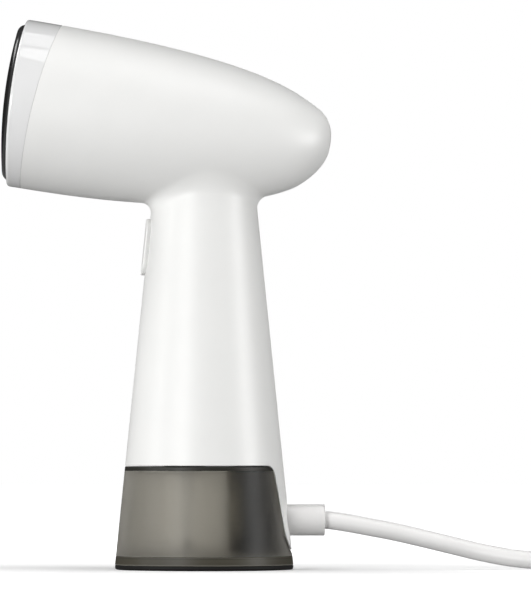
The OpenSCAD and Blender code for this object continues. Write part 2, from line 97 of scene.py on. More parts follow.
# The head: the middle of its front, its tilt, and the radius, length and power of its rounded outline
HEAD_FRONT = np.array([-86.4, 0.0, 220.6])
HEAD_TILT = math.radians(8.2)
HEAD_R, HEAD_L, HEAD_POWER = 39.7, 147.4, 2.41
BELLY, BELLY_L = 1.0, 140.0  # how far its middle line sags, and over what length
TAIL_LIFT, TAIL_U, TAIL_L = 2.0, 132.0, 16.0  # how far its tail rises, from where, and over what length
NECK_R = 5.0  # the fillet between head and handle

# The collar's rear seam and its front rim: place along the head, slant, and bow forward at both sides
SEAM_U, SEAM_TILT, SEAM_BOW = 9.4, math.radians(6.2), 2.5
RIM_U, RIM_LEAN, RIM_BOW = -2.4, 0.0205, 1.8

# The tongue behind the tank: the middle and radius of its round end, its flat front, and its flare
TONGUE_Z, TONGUE_R, TONGUE_X = 23.5, 14.0, 12.5
TONGUE_FLARE = math.radians(8.5)
TONGUE_GAP = 0.3
TONGUE_SIDE = 8.0  # in front of this X the shells' lower edge is plain
CORNER_R = 4.0

TRIGGER_W, TRIGGER_H, TRIGGER_Z, TRIGGER_PROUD = 13.0, 26.7, 152.5, 1.9
TRIGGER_GAP = 0.35
CORD_D, CORD_Z = 8.4, 23.4
SLEEVE_R, SLEEVE_BORE, SLEEVE_START, SLEEVE_END = 7.4, 4.3, 36.0, 57.1
SLEEVE_GAP = 0.12
PIPE_X = -8.0  # the middle of the pipe in the tank
FILLER_X, FILLER_Y = -10.0, 19.0  # the middle of the filling hole

AXIS = np.array([math.cos(HEAD_TILT), 0.0, -math.sin(HEAD_TILT)])  # along the head, towards its tail
DOWN = np.array([-math.sin(HEAD_TILT), 0.0, -math.cos(HEAD_TILT)])
AXIS_X = np.array([1.0, 0.0, 0.0])
AXIS_Y = np.array([0.0, 1.0, 0.0])


def smooth_step(t):
    """From 0 to 1 without corners, for t from 0 to 1."""
    return t * t * (3 - 2 * t)


# ---------------------------------------------------------------- the cord comes first
def cord_points():
    """The cord's centreline: its route to the floor, the stored coil, and the end that carries the plug."""
    route = [
        (40, 0, CORD_Z), (SLEEVE_END, 0, CORD_Z), (64, 0, 22.6), (71, 0, 21.4), (79, 0, 19.9), (88, 0, 18.2),
        (98, 0, 16), (108, 0, 13.6), (118, -0.3, 11.2), (128, -1.8, 8.8), (138, -5, 6.8), (148, -9.3, 5.3),
        (158, -13.7, 4.5), (168, -18.1, 4.2), (180, -23.4, 4.2), (191, -28.2, 4.2),
    ]
    end = [
        (236, -38.1, 12.6), (246, -38.1, 11.9), (257.5, -38.1, 9.9), (269.1, -36.6, 7.3), (280, -32.1, 5.1),
        (289.3, -24.9, 4.3), (296.5, -15.6, 5.4), (301, -4.7, 7.8), (302.5, 7, 9),
    ]
    # The coil winds inwards on the floor for half its turns, and outwards again on top of them
    turns, mean_r, centre = 5.07, 47.0, (226.0, 19.5)
    half = turns / 2
    outer_r = mean_r + CORD_D * half / 2
    inner_r = mean_r - CORD_D * half / 2
    count = 100
    coil = []
    for i in range(count + 1):
        t = turns * i / count
        r = outer_r - CORD_D * t if t < half else inner_r + CORD_D * (t - half)
        rise = min(max((t - half + 0.25) / 0.5, 0), 1)
        z = CORD_D / 2 + CORD_D * smooth_step(rise)
        a = math.radians(360 * (t - turns) - 90)
        coil.append((centre[0] + r * math.cos(a), centre[1] + r * math.sin(a), z))
    return route + coil + end


def make_cord():
    """The cord as one curve of constant thickness, which rides on the housing."""
    points = cord_points()
    curve = bpy.data.curves.new("power_cord_white", "CURVE")
    curve.dimensions = "3D"
    curve.bevel_depth = 1.0  # each point's own radius scales this
    curve.bevel_resolution = 6
    curve.resolution_u = 4
    curve.use_fill_caps = True
    spline = curve.splines.new("BEZIER")
    spline.bezier_points.add(len(points) - 1)
    for knot, p in zip(spline.bezier_points, points):
        knot.co = Vector(p) * MM
        knot.handle_left_type = knot.handle_right_type = "AUTO"
        knot.radius = CORD_D / 2 * MM
    cord = bpy.data.objects.new("power_cord_white", curve)
    scene.collection.objects.link(cord)
    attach(cord, "housing")
    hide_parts("power_cord", "cord_coil", "cord_end")
    return cord


cord = make_cord()


# ---------------------------------------------------------------- surfaces, as signed distances
def head_coords(p):
    """Distance behind the head's front, distance below its axis, and distance across."""
    q = p - HEAD_FRONT
    return q @ AXIS, q @ DOWN, q[:, 1]


def droop(u):
    """How far the head's middle line lies below its straight axis."""
    belly = BELLY * np.sin(np.pi * np.clip(u, 0, BELLY_L) / BELLY_L)
    return belly - TAIL_LIFT * smooth_step(np.clip((u - TAIL_U) / TAIL_L, 0, 1))


def head_field(p):
    """Distance outside the head: a rounded body of revolution about its drooping middle line."""
    u, down, y = head_coords(p)
    a = np.hypot(down - droop(u), y) / HEAD_R
    b = np.maximum(u, 0) / HEAD_L
    s = np.maximum((a**HEAD_POWER + b**HEAD_POWER) ** (1 / HEAD_POWER), 1e-6)
    slope = np.hypot(a ** (HEAD_POWER - 1) / HEAD_R, b ** (HEAD_POWER - 1) / HEAD_L) * s ** (1 - HEAD_POWER)
    return (s - 1) / np.maximum(slope, 1e-4)


def cone_r(z):
    return BASE_R - TAPER * z


def cone_field(p, proud=0.0):
    """Distance outside the handle's cone, or outside one that stands proud of it."""
    r = np.hypot(p[:, 0], p[:, 1])
    return (r - (BASE_R + proud - TAPER * p[:, 2])) / math.sqrt(1 + TAPER**2)


def joined(a, b, r):
    """Two distances as one, with a round fillet of radius r in the corner."""
    return np.maximum(r, np.minimum(a, b)) - np.hypot(np.maximum(r - a, 0), np.maximum(r - b, 0))


def shell_field(p):
    """Distance outside the head and handle, which are one rounded shape."""
    handle = np.maximum(cone_field(p), p[:, 2] - CONE_TOP)
    return joined(head_field(p), handle, NECK_R)


def seam_field(p):
    """Distance behind the collar's slanted rear seam."""
    u, down, y = head_coords(p)
    return (u - SEAM_U + down * math.tan(SEAM_TILT) + SEAM_BOW * (y / HEAD_R) ** 2) * math.cos(SEAM_TILT)


def tongue_field(p):
    """Distance outside the tongue's outline, seen along X."""
    y, z = np.abs(p[:, 1]), p[:, 2] - TONGUE_Z
    along = y * math.sin(TONGUE_FLARE) + z * math.cos(TONGUE_FLARE)
    line = y * math.cos(TONGUE_FLARE) - z * math.sin(TONGUE_FLARE)
    return np.where(along > 0, line, np.hypot(y, z)) - TONGUE_R


def shell_end_field(p):
    """Distance inside the shells' lower edge, with the tongue behind the tank and its two round corners."""
    below = SHELL_END - p[:, 2]
    with_tongue = joined(below, tongue_field(p), CORNER_R)
    return -np.where(p[:, 0] > TONGUE_SIDE, with_tongue, below)


def stadium_field(p):
    """Distance outside the trigger's outline, seen along X."""
    rise = np.maximum(np.abs(p[:, 2] - TRIGGER_Z) - (TRIGGER_H - TRIGGER_W) / 2, 0)
    return np.hypot(p[:, 1], rise) - TRIGGER_W / 2


FAR = 50.0  # the distance given where a hole isn't on this side of the handle


def window_field(p):
    """Distance outside the trigger's hole in the handle's front."""
    return np.where(p[:, 0] < 0, stadium_field(p) - TRIGGER_GAP, FAR)


def sleeve_hole_field(p):
    """Distance outside the sleeve's hole in the tongue's back."""
    return np.where(p[:, 0] > 0, np.hypot(p[:, 1], p[:, 2] - CORD_Z) - SLEEVE_R - SLEEVE_GAP, FAR)


# ---------------------------------------------------------------- meshes on those surfaces
def gradient(f, p, h=0.02):
    """How f changes along X, Y and Z at each point."""
    out = np.empty_like(p)
    for i in range(3):
        d = np.zeros(3)
        d[i] = h
        out[:, i] = (f(p + d) - f(p - d)) / (2 * h)
    return out


def settle(p, wanted, rounds=6):
    """Moves points until every function has the value wanted for it, given as (function, value) pairs."""
    if not len(p):
        return p
    for _ in range(rounds):
        jac = np.stack([gradient(f, p) for f, _ in wanted], 1)
        off = np.stack([v - f(p) for f, v in wanted], 1)
        gram = jac @ jac.transpose(0, 2, 1) + 1e-9 * np.eye(len(wanted))
        move = (jac.transpose(0, 2, 1) @ np.linalg.solve(gram, off[..., None]))[..., 0]
        length = np.linalg.norm(move, axis=1, keepdims=True)
        p = p + move * np.minimum(1, 3 / np.maximum(length, 1e-9))
    return p


def unit(v):
    return v / np.maximum(np.linalg.norm(v, axis=1, keepdims=True), 1e-12)


def crossed_cells(inside):
    """Which cells of a grid a surface crosses, and the four-sided faces between them, facing outwards.

    inside says of every grid point whether it lies within the surface.
    """
    n = [size - 1 for size in inside.shape]
    count = sum(
        inside[i : i + n[0], j : j + n[1], k : k + n[2]].astype(int)
        for i in (0, 1) for j in (0, 1) for k in (0, 1)
    )
    crossed = (count > 0) & (count < 8)
    index = np.full(crossed.shape, -1)
    index[crossed] = np.arange(crossed.sum())
    quads = []
    for axis in range(3):
        b, c = [i for i in range(3) if i != axis]
        here, there = [slice(None)] * 3, [slice(None)] * 3
        here[axis], there[axis] = slice(0, -1), slice(1, None)
        for s in (here, there):
            s[b] = s[c] = slice(1, -1)
        one, two = inside[tuple(here)], inside[tuple(there)]
        around = []  # the four cells around every grid line along this axis
        for db, dc in ((0, 0), (1, 0), (1, 1), (0, 1)):
            s = [slice(None)] * 3
            s[b] = slice(db, n[b] - 1 + db)
            s[c] = slice(dc, n[c] - 1 + dc)
            around.append(index[tuple(s)])
        around = np.stack(around, -1)
        outwards = around if axis != 1 else around[..., ::-1]
        quads += [outwards[one & ~two], outwards[~one & two][:, ::-1]]
    return crossed, np.vstack(quads)


def spread_evenly(f, points, quads, rounds=12, pull=0.6):
    """Draws every point towards the middle of its neighbours, and puts it back on f = 0."""
    edges = np.vstack([quads[:, [i, (i + 1) % 4]] for i in range(4)])
    edges = np.unique(np.sort(edges, 1), axis=0)
    for _ in range(rounds):
        total = np.zeros_like(points)
        degree = np.zeros(len(points))
        for a, b in (edges.T, edges.T[::-1]):
            np.add.at(total, a, points[b])
            np.add.at(degree, a, 1)
        points = points + pull * (total / degree[:, None] - points)
        points = settle(points, [(f, 0.0)], 2)
    return points


def surface_net(f, low, high, step):
    """Triangles on f = 0 inside a box, from one point in each grid cell that the surface crosses."""
    axes = [np.arange(a, b + step, step) for a, b in zip(low, high)]
    grid = np.stack(np.meshgrid(*axes, indexing="ij"), -1)
    inside = (f(grid.reshape(-1, 3)) < 0).reshape(grid.shape[:3])
    crossed, quads = crossed_cells(inside)
    points = (grid[:-1, :-1, :-1] + step / 2)[crossed]
    points = spread_evenly(f, settle(points, [(f, 0.0)], 8), quads)
    first = np.linalg.norm(points[quads[:, 0]] - points[quads[:, 2]], axis=1)
    second = np.linalg.norm(points[quads[:, 1]] - points[quads[:, 3]], axis=1)
    pick = (first <= second)[:, None]  # each face is split along its shorter diagonal
    tris = np.vstack([
        np.where(pick, quads[:, [0, 1, 2]], quads[:, [0, 1, 3]]),
        np.where(pick, quads[:, [0, 2, 3]], quads[:, [1, 2, 3]]),
    ])
    return points, tris


def lattice(low, high, step, place):
    """A flat lattice of triangles between two corners, put in space by place(a, b)."""
    a = np.arange(low[0], high[0] + step, step)
    b = np.arange(low[1], high[1] + step, step * math.sqrt(3) / 2)
    aa, bb = np.meshgrid(a, b, indexing="ij")
    aa = aa + (np.arange(len(b)) % 2) * step / 2
    index = np.arange(aa.size).reshape(aa.shape)
    odd = (np.arange(len(b) - 1) % 2 == 1)[None, :, None]
    i, j, k, m = index[:-1, :-1], index[1:, :-1], index[1:, 1:], index[:-1, 1:]
    one = np.where(odd, np.stack([i, j, k], -1), np.stack([i, j, m], -1))
    two = np.where(odd, np.stack([i, k, m], -1), np.stack([j, k, m], -1))
    return place(aa.ravel(), bb.ravel()), np.vstack([one.reshape(-1, 3), two.reshape(-1, 3)])


def edges_of(tris):
    """The two points of every triangle's three edges, in the triangle's order."""
    return np.vstack([tris[:, [i, (i + 1) % 3]] for i in range(3)])


def edge_keys(pairs, size):
    """One number for each edge, whichever way it runs."""
    pairs = np.sort(pairs, 1)
    return pairs[:, 0] * size + pairs[:, 1]


def bits(m):
    """The fields that a mask names."""
    return [i for i in range(int(m).bit_length()) if int(m) >> i & 1]


def on_edges(points, masks, surface, fields):
    """The points moved onto the surface and onto the edges of the fields that their masks name."""
    moved = points.copy()
    for m in np.unique(masks):
        which = masks == m
        moved[which] = settle(points[which], [(surface, 0.0)] + [fields[i] for i in bits(m)])
    return moved


def clip(points, tris, mask, surface, fields, k, snap=0.28):
    """Cuts the mesh along field k at its edge's radius. A point's mask says which fields' edges it lies on.

    Points closer to the cut than snap, as a part of the usual edge length, are moved onto it.
    """
    field, level = fields[k]
    bit = 1 << k
    g = field(points) - level
    pairs = edges_of(tris)
    crossing = (g[pairs[:, 0]] > 0) != (g[pairs[:, 1]] > 0)
    if not crossing.any():
        keep = (g[tris] > 0).all(1)
        return points, tris[keep], mask
    typical = np.median(np.linalg.norm(points[pairs[:, 0]] - points[pairs[:, 1]], axis=1))
    beside = np.zeros(len(points), bool)
    beside[pairs[crossing].ravel()] = True
    slope = np.linalg.norm(gradient(field, points), axis=1)
    near = beside & (np.abs(g) < snap * typical * slope)
    mask = mask.copy()
    mask[near] |= bit
    points = points.copy()
    points[near] = on_edges(points[near], mask[near], surface, fields)

    # A triangle is kept whole, left out, or cut where the sign changes between two of its points
    sign = np.where(near, 0, np.sign(g)).astype(int)
    s = sign[tris]
    whole = (s >= 0).all(1) & (s > 0).any(1)
    flat = (s == 0).all(1)
    flat[flat] = field(points[tris[flat]].mean(1)) - level > 0
    mixed = (s > 0).any(1) & (s < 0).any(1)
    cut_pairs = pairs[(sign[pairs[:, 0]] * sign[pairs[:, 1]]) < 0]
    size = len(points)
    keys, first = np.unique(edge_keys(cut_pairs, size), return_index=True)
    all_keys, uses = np.unique(edge_keys(pairs, size), return_counts=True)
    border = uses[np.searchsorted(all_keys, keys)] == 1
    a, b = cut_pairs[first].T
    t = (g[a] / (g[a] - g[b]))[:, None]
    fresh = points[a] * (1 - t) + points[b] * t
    fresh_mask = np.where(border, mask[a] & mask[b], 0) | bit
    fresh = on_edges(fresh, fresh_mask, surface, fields)
    number = {int(key): size + i for i, key in enumerate(keys)}

    def cut(i, j):
        return number[int(min(i, j)) * size + int(max(i, j))]

    made = []
    for t in tris[mixed]:
        ring = []
        for i in range(3):
            p, q = int(t[i]), int(t[(i + 1) % 3])
            if sign[p] >= 0:
                ring.append(p)
            if sign[p] * sign[q] < 0:
                ring.append(cut(p, q))
        made += [(ring[0], ring[i], ring[i + 1]) for i in range(1, len(ring) - 1)]
    points = np.vstack([points, fresh])
    mask = np.concatenate([mask, fresh_mask])
    tris = np.vstack([tris[whole | flat], np.array(made, int).reshape(-1, 3)])
    return points, tris, mask


def compact(points, tris, mask, apart=2e-4):
    """Merges points that fell together, and drops what no triangle uses."""
    key = np.round(points / apart).astype(np.int64)
    _, first, inverse = np.unique(key, axis=0, return_index=True, return_inverse=True)
    inverse = inverse.ravel()
    merged_mask = np.zeros(len(first), int)
    np.bitwise_or.at(merged_mask, inverse, mask)
    tris = inverse[tris]
    good = (tris[:, 0] != tris[:, 1]) & (tris[:, 1] != tris[:, 2]) & (tris[:, 0] != tris[:, 2])
    tris = tris[good]
    used, tris = np.unique(tris, return_inverse=True)
    return points[first][used], tris.reshape(-1, 3), merged_mask[used]


def edge_ring(at, masks, surface, fields, angle, back=None):
    """The next ring of points round a panel's edge, and their normals.

    The front edge is rounded with the radii of the fields. back is the depth and the radius of the rear edge.
    """
    placed, normal = at.copy(), np.empty_like(at)
    for m in np.unique(masks):
        which = masks == m
        meeting = [fields[i] for i in bits(m)]
        if back:
            depth, r = back
            want = [(surface, -(depth - r * (1 - math.sin(angle))))]
            want += [(field, r * (1 - math.cos(angle))) for field, _ in meeting]
        else:
            r = min(edge_r for _, edge_r in meeting)
            want = [(surface, -r * (1 - math.cos(angle)))]
            want += [(field, edge_r * (1 - math.sin(angle))) for field, edge_r in meeting]
        placed[which] = settle(at[which], want)
        n = unit(gradient(surface, placed[which]))
        out = -sum(unit(gradient(field, placed[which])) for field, _ in meeting)
        out = unit(out - n * (out * n).sum(1, keepdims=True))
        if back:
            normal[which] = out * math.cos(angle) - n * math.sin(angle)
        else:
            normal[which] = n * math.cos(angle) + out * math.sin(angle)
    return placed, normal


def panel(surface, base, fields, depth, inner_r=0.25, arc=5):
    """A closed piece whose outside lies on surface = 0 where every field is positive, with rounded edges.

    fields are (function, edge radius) pairs, and depth is the thickness. Returns points, faces and normals.
    """
    points, tris = base
    points = settle(points, [(surface, 0.0)], 4)
    corner = points[tris]
    facing = np.cross(corner[:, 1] - corner[:, 0], corner[:, 2] - corner[:, 0])
    if (facing * gradient(surface, corner.mean(1))).sum() < 0:
        tris = tris[:, ::-1]
    mask = np.zeros(len(points), int)
    for k in range(len(fields)):
        points, tris, mask = clip(points, tris, mask, surface, fields, k)
        points, tris, mask = compact(points, tris, mask)

    # The rim is made of the edges that only one triangle uses, numbered by their place along it
    size = len(points)
    pairs = edges_of(tris)
    keys = edge_keys(pairs, size)
    all_keys, uses = np.unique(keys, return_counts=True)
    rim = pairs[uses[np.searchsorted(all_keys, keys)] == 1]
    ids = np.unique(rim)
    local = np.full(size, -1)
    local[ids] = np.arange(len(ids))
    rim = local[rim]
    rim_mask = mask[ids]
    if (rim_mask == 0).any():
        raise RuntimeError("a panel's rim leaves the edges that its fields give it")

    # Rings of points go from the rim round the front edge, and then round the rear one
    steps = [(math.radians(90 * i / arc), None) for i in range(1, arc + 1)]
    steps += [(math.radians(90 * i / 2), (depth, inner_r)) for i in range(3)]
    rings = [ids]
    all_points, all_normals = [points], [unit(gradient(surface, points))]
    at = points[ids]
    for angle, back in steps:
        at, normal = edge_ring(at, rim_mask, surface, fields, angle, back)
        rings.append(len(ids) * (len(rings) - 1) + size + np.arange(len(ids)))
        all_points.append(at)
        all_normals.append(normal)
    faces = [tuple(t) for t in tris.tolist()]
    for one, two in zip(rings[:-1], rings[1:]):
        a, b = one[rim[:, 0]], one[rim[:, 1]]
        c, d = two[rim[:, 1]], two[rim[:, 0]]
        faces += [tuple(f) for f in np.stack([b, a, d, c], 1).tolist()]

    # The back repeats the front's triangles, a depth further in
    inner_ids = np.full(size, -1)
    inner_ids[ids] = rings[-1]
    rest = np.setdiff1d(np.arange(size), ids)
    start = sum(len(x) for x in all_points)
    inner_ids[rest] = start + np.arange(len(rest))
    inner_points = settle(points[rest] - unit(gradient(surface, points[rest])) * depth, [(surface, -depth)])
    all_points.append(inner_points)
    all_normals.append(-unit(gradient(surface, inner_points)))
    faces += [tuple(t) for t in inner_ids[tris][:, ::-1].tolist()]
    return np.vstack(all_points), faces, np.vstack(all_normals)


def facing_out(points, faces):
    """The faces of a closed mesh, turned over if they face inwards."""
    fans = np.array([(f[0], f[i], f[i + 1]) for f in faces for i in range(1, len(f) - 1)])
    a, b, c = (points[fans[:, i]] for i in range(3))
    volume = (a * np.cross(b, c)).sum()
    return [f[::-1] for f in faces] if volume < 0 else faces


def smooth_mesh(name, points, faces, material):
    """A smooth mesh object from points in millimetres."""
    mesh = bpy.data.meshes.new(name)
    mesh.from_pydata((points * MM).tolist(), [], faces)
    mesh.update()
    mesh.polygons.foreach_set("use_smooth", [True] * len(mesh.polygons))
    mesh.materials.append(material)
    made = bpy.data.objects.new(name, mesh)
    scene.collection.objects.link(made)
    return made


def make_piece(name, body, shape, slot, replaces=(), material=None):
    """A mesh piece that rides on a body. shape is points, faces, and normals where it gives its own."""
    points, faces, *normals = shape
    if not normals:
        faces = facing_out(points, faces)
    piece = smooth_mesh(name, points, faces, material or MATERIALS[slot])
    normals = normals[0] if normals else weighted_normals(piece.data)
    piece.data.normals_split_custom_set_from_vertices(normals.tolist())
    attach(piece, body)
    if replaces:
        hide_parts(*replaces)


def weighted_normals(mesh):
    """Each point's normal, with faces weighted by area, so that flat faces beside round edges stay flat."""
    total = np.zeros((len(mesh.vertices), 3))
    for f in mesh.polygons:
        n = np.array(f.normal) * f.area
        for v in f.vertices:
            total[v] += n
    return unit(total)


def mirrored(points, faces, normals):
    """The same shape on the other side of the plane of symmetry."""
    flip = np.array([1.0, -1.0, 1.0])
    return points * flip, [f[::-1] for f in faces], normals * flip


# ---------------------------------------------------------------- materials
def noise(tree, scale, detail):
    """A soft noise fixed to the object."""
    where = tree.nodes.new("ShaderNodeTexCoord")
    node = tree.nodes.new("ShaderNodeTexNoise")
    node.inputs["Scale"].default_value = scale
    node.inputs["Detail"].default_value = detail
    tree.links.new(where.outputs["Object"], node.inputs["Vector"])
    return node.outputs["Fac"]


def mottle(tree, light, dark):
    """Two near colours in a soft mottle."""
    ramp = tree.nodes.new("ShaderNodeValToRGB")
    ramp.color_ramp.elements[0].position = 0.35
    ramp.color_ramp.elements[1].position = 0.65
    ramp.color_ramp.elements[0].color = (*dark, 1)
    ramp.color_ramp.elements[1].color = (*light, 1)
    tree.links.new(noise(tree, 60.0, 3.0), ramp.inputs["Fac"])
    return ramp.outputs["Color"]


def by_place(tree, stops, axis):
    """Colours by the place along an axis of the object, from (place in millimetres, colour) pairs."""
    low, high = stops[0][0], stops[-1][0]
    where = tree.nodes.new("ShaderNodeTexCoord")
    split = tree.nodes.new("ShaderNodeSeparateXYZ")
    place = tree.nodes.new("ShaderNodeMapRange")
    place.inputs["From Min"].default_value = low * MM
    place.inputs["From Max"].default_value = high * MM
    ramp = tree.nodes.new("ShaderNodeValToRGB")
    while len(ramp.color_ramp.elements) < len(stops):
        ramp.color_ramp.elements.new(1.0)
    for element, (at, color) in zip(ramp.color_ramp.elements, stops):
        element.position = (at - low) / (high - low)
        element.color = (*color, 1)
    tree.links.new(where.outputs["Object"], split.inputs[0])
    tree.links.new(split.outputs[axis], place.inputs["Value"])
    tree.links.new(place.outputs["Result"], ramp.inputs["Fac"])
    return ramp.outputs["Color"]


def make_material(name, light, dark, rough, grain=900.0, bump=0.02, stops=None, axis="Z", **sockets):
    """A procedural finish: a mottle of two colours, a roughness that varies, and a fine grain.

    Where stops are given, they take the mottle's place and colour the finish along an axis.
    """
    made = bpy.data.materials.new(name)
    made.use_nodes = True
    tree = made.node_tree
    shader = tree.nodes["Principled BSDF"]
    color = by_place(tree, stops, axis) if stops else mottle(tree, light, dark)
    tree.links.new(color, shader.inputs["Base Color"])
    spread = tree.nodes.new("ShaderNodeMapRange")
    spread.inputs["To Min"].default_value = rough[0]
    spread.inputs["To Max"].default_value = rough[1]
    tree.links.new(noise(tree, 140.0, 4.0), spread.inputs["Value"])
    tree.links.new(spread.outputs["Result"], shader.inputs["Roughness"])
    relief = tree.nodes.new("ShaderNodeBump")
    relief.inputs["Strength"].default_value = bump
    relief.inputs["Distance"].default_value = 0.0002
    tree.links.new(noise(tree, grain, 2.0), relief.inputs["Height"])
    tree.links.new(relief.outputs["Normal"], shader.inputs["Normal"])
    for socket, value in sockets.items():
        shader.inputs[socket.replace("_", " ")].default_value = value
    return made


def grey(v, warm=0.0):
    """A linear grey, with red a little above and blue a little below it when warm."""
    return (v * (1 + warm), v, v * (1 - warm))


# The tank's tint is a little darker in front and in its rear half: painted shade along X
SMOKE = (0.515, 0.5, 0.46)
SMOKE_PAINTED_SHADES = ((-42, 0.89), (-26, 0.9), (-16, 1.0), (-10, 1.0), (2, 0.91), (8, 0.89), (42, 0.93))
SMOKE_PAINTED_SHADE_STOPS = [(x, tuple(k * c for c in SMOKE)) for x, k in SMOKE_PAINTED_SHADES]

# The pocket's wall is painted darker backwards: painted shade deeper in the pocket
POCKET_PAINTED_SHADE_STOPS = [
    (10, (0.7, 0.69, 0.65)), (16, (0.7, 0.68, 0.63)), (19, (0.2, 0.193, 0.17)), (23, (0.06, 0.058, 0.05)),
]

# The band under the tank, by height: a pale line that is a painted highlight on its lower edge, its own dark
# zone, then a darker line and a lighter top that are painted shade and a painted highlight at its upper edge
BAND_STOPS_PAINTED_EDGE_LIGHT = [
    (2.6, (0.15, 0.145, 0.125)), (2.8, (0.058, 0.053, 0.04)), (5.2, (0.062, 0.057, 0.043)),
    (5.6, (0.04, 0.037, 0.028)), (6.0, (0.07, 0.065, 0.052)),
]

MATERIALS = {
    "shell_white": make_material(
        "shell_white", (0.855, 0.855, 0.84), (0.845, 0.845, 0.83), (0.38, 0.46), bump=0.03
    ),
    "collar_white": make_material("collar_white", grey(0.81), grey(0.8), (0.05, 0.08), bump=0.0),
    "plate_black": make_material(
        "plate_black", grey(0.036), grey(0.032), (0.12, 0.16), bump=0.0, Specular_IOR_Level=0.26
    ),
    # The tank's smoky tint, with painted shade along X
    "tank_smoke": make_material(
        "tank_smoke", None, None, (0.40, 0.46), bump=0.0, stops=SMOKE_PAINTED_SHADE_STOPS, axis="X", IOR=1.25,
        Specular_IOR_Level=0.02, Transmission_Weight=1.0,
    ),
    "tank_dark": make_material(
        "tank_dark", (0.026, 0.025, 0.021), (0.022, 0.021, 0.017), (0.4, 0.5), bump=0.0,
        Specular_IOR_Level=0.2,
    ),
    "rubber_dark": make_material(
        "rubber_dark", grey(0.010, 0.05), grey(0.008, 0.05), (0.6, 0.7), bump=0.1, Specular_IOR_Level=0.2
    ),
    "cord_white": make_material("cord_white", grey(0.88, 0.01), grey(0.86, 0.01), (0.4, 0.5), bump=0.05),
    "silicone": make_material(
        "silicone", grey(0.9), grey(0.88), (0.3, 0.4), bump=0.0, IOR=1.25, Transmission_Weight=0.9
    ),
    "cast_alloy": make_material("cast_alloy", grey(0.5), grey(0.42), (0.35, 0.5), 400.0, 0.2, Metallic=1.0),
    "steel": make_material("steel", grey(0.55), grey(0.5), (0.2, 0.3), Metallic=1.0),
    "brass": make_material("brass", (0.72, 0.5, 0.2), (0.66, 0.45, 0.17), (0.2, 0.3), Metallic=1.0),
    "inner_plastic": make_material("inner_plastic", grey(0.5), grey(0.46), (0.4, 0.5)),
    "copper": make_material("copper", (0.7, 0.32, 0.18), (0.62, 0.27, 0.14), (0.25, 0.35), Metallic=1.0),
    "board_green": make_material("board_green", (0.03, 0.22, 0.09), (0.025, 0.18, 0.07), (0.3, 0.4)),
    "parts_blue": make_material("parts_blue", (0.04, 0.12, 0.4), (0.03, 0.1, 0.35), (0.35, 0.45)),
    "wire": make_material("wire", (0.45, 0.2, 0.1), (0.4, 0.17, 0.08), (0.4, 0.5)),
    "ceramic": make_material("ceramic", grey(0.7, 0.03), grey(0.66, 0.03), (0.3, 0.4)),
}
cord.data.materials.append(MATERIALS["cord_white"])
sleeve_white = make_material("sleeve_white", grey(0.81, 0.01), grey(0.79, 0.01), (0.4, 0.5), bump=0.05)
# The liner's smoky tint, with painted shade that deepens backwards into the pocket
pocket_smoke_painted_shade = make_material(
    "pocket_smoke_painted_shade", None, None, (0.3, 0.36), bump=0.0, stops=POCKET_PAINTED_SHADE_STOPS, axis="X", IOR=1.25,
    Specular_IOR_Level=0.1, Transmission_Weight=1.0,
)
# The band's own dark colour, with a painted highlight on its lower edge and painted shade and highlight at
# its upper edge
band_brown_painted_edge_light = make_material(
    "band_brown_painted_edge_light", None, None, (0.4, 0.5), bump=0.0, stops=BAND_STOPS_PAINTED_EDGE_LIGHT, Specular_IOR_Level=0.2
)
pipe_clear = make_material(
    "pipe_clear", grey(0.92), grey(0.9), (0.15, 0.2), bump=0.0, IOR=1.12, Specular_IOR_Level=0.1,
    Transmission_Weight=1.0,
)

# Every CAD node that stays takes the better material of its own slot
for row in frame["record"]["subparts"]:
    target = frame["nodes"][row["node"]]
    target.data.materials.clear()
    target.data.materials.append(MATERIALS[row["material_slot"]])


# ---------------------------------------------------------------- shells
shell_net = surface_net(shell_field, (-95, -46, 4), (66, 5, 266), 1.7)
SEAM_GAP, SPLIT_GAP = 0.08, 0.04  # from the shells to the collar's seam, and to the plane of symmetry
shell_fields = [
    (lambda p: seam_field(p) - SEAM_GAP, 0.12),
    (shell_end_field, 0.4),
    (window_field, 0.4),
    (sleeve_hole_field, 0.3),
    (lambda p: -p[:, 1] - SPLIT_GAP, 0.12),
]
left = panel(shell_field, shell_net, shell_fields, WALL)
make_piece("shell_left", "housing", left, "shell_white", ["left_shell"])
make_piece("shell_right", "housing", mirrored(*left), "shell_white", ["right_shell"])


# ---------------------------------------------------------------- collar
def head_point(down, across, u):
    """Points in space from the head's own coordinates."""
    down, across, u = np.broadcast_arrays(down, across, u)
    return HEAD_FRONT + u[..., None] * AXIS + down[..., None] * DOWN + across[..., None] * AXIS_Y


def head_radius(u):
    """The head's radius at a place along it."""
    return HEAD_R * (1 - (np.clip(u, 0, HEAD_L) / HEAD_L) ** HEAD_POWER) ** (1 / HEAD_POWER)


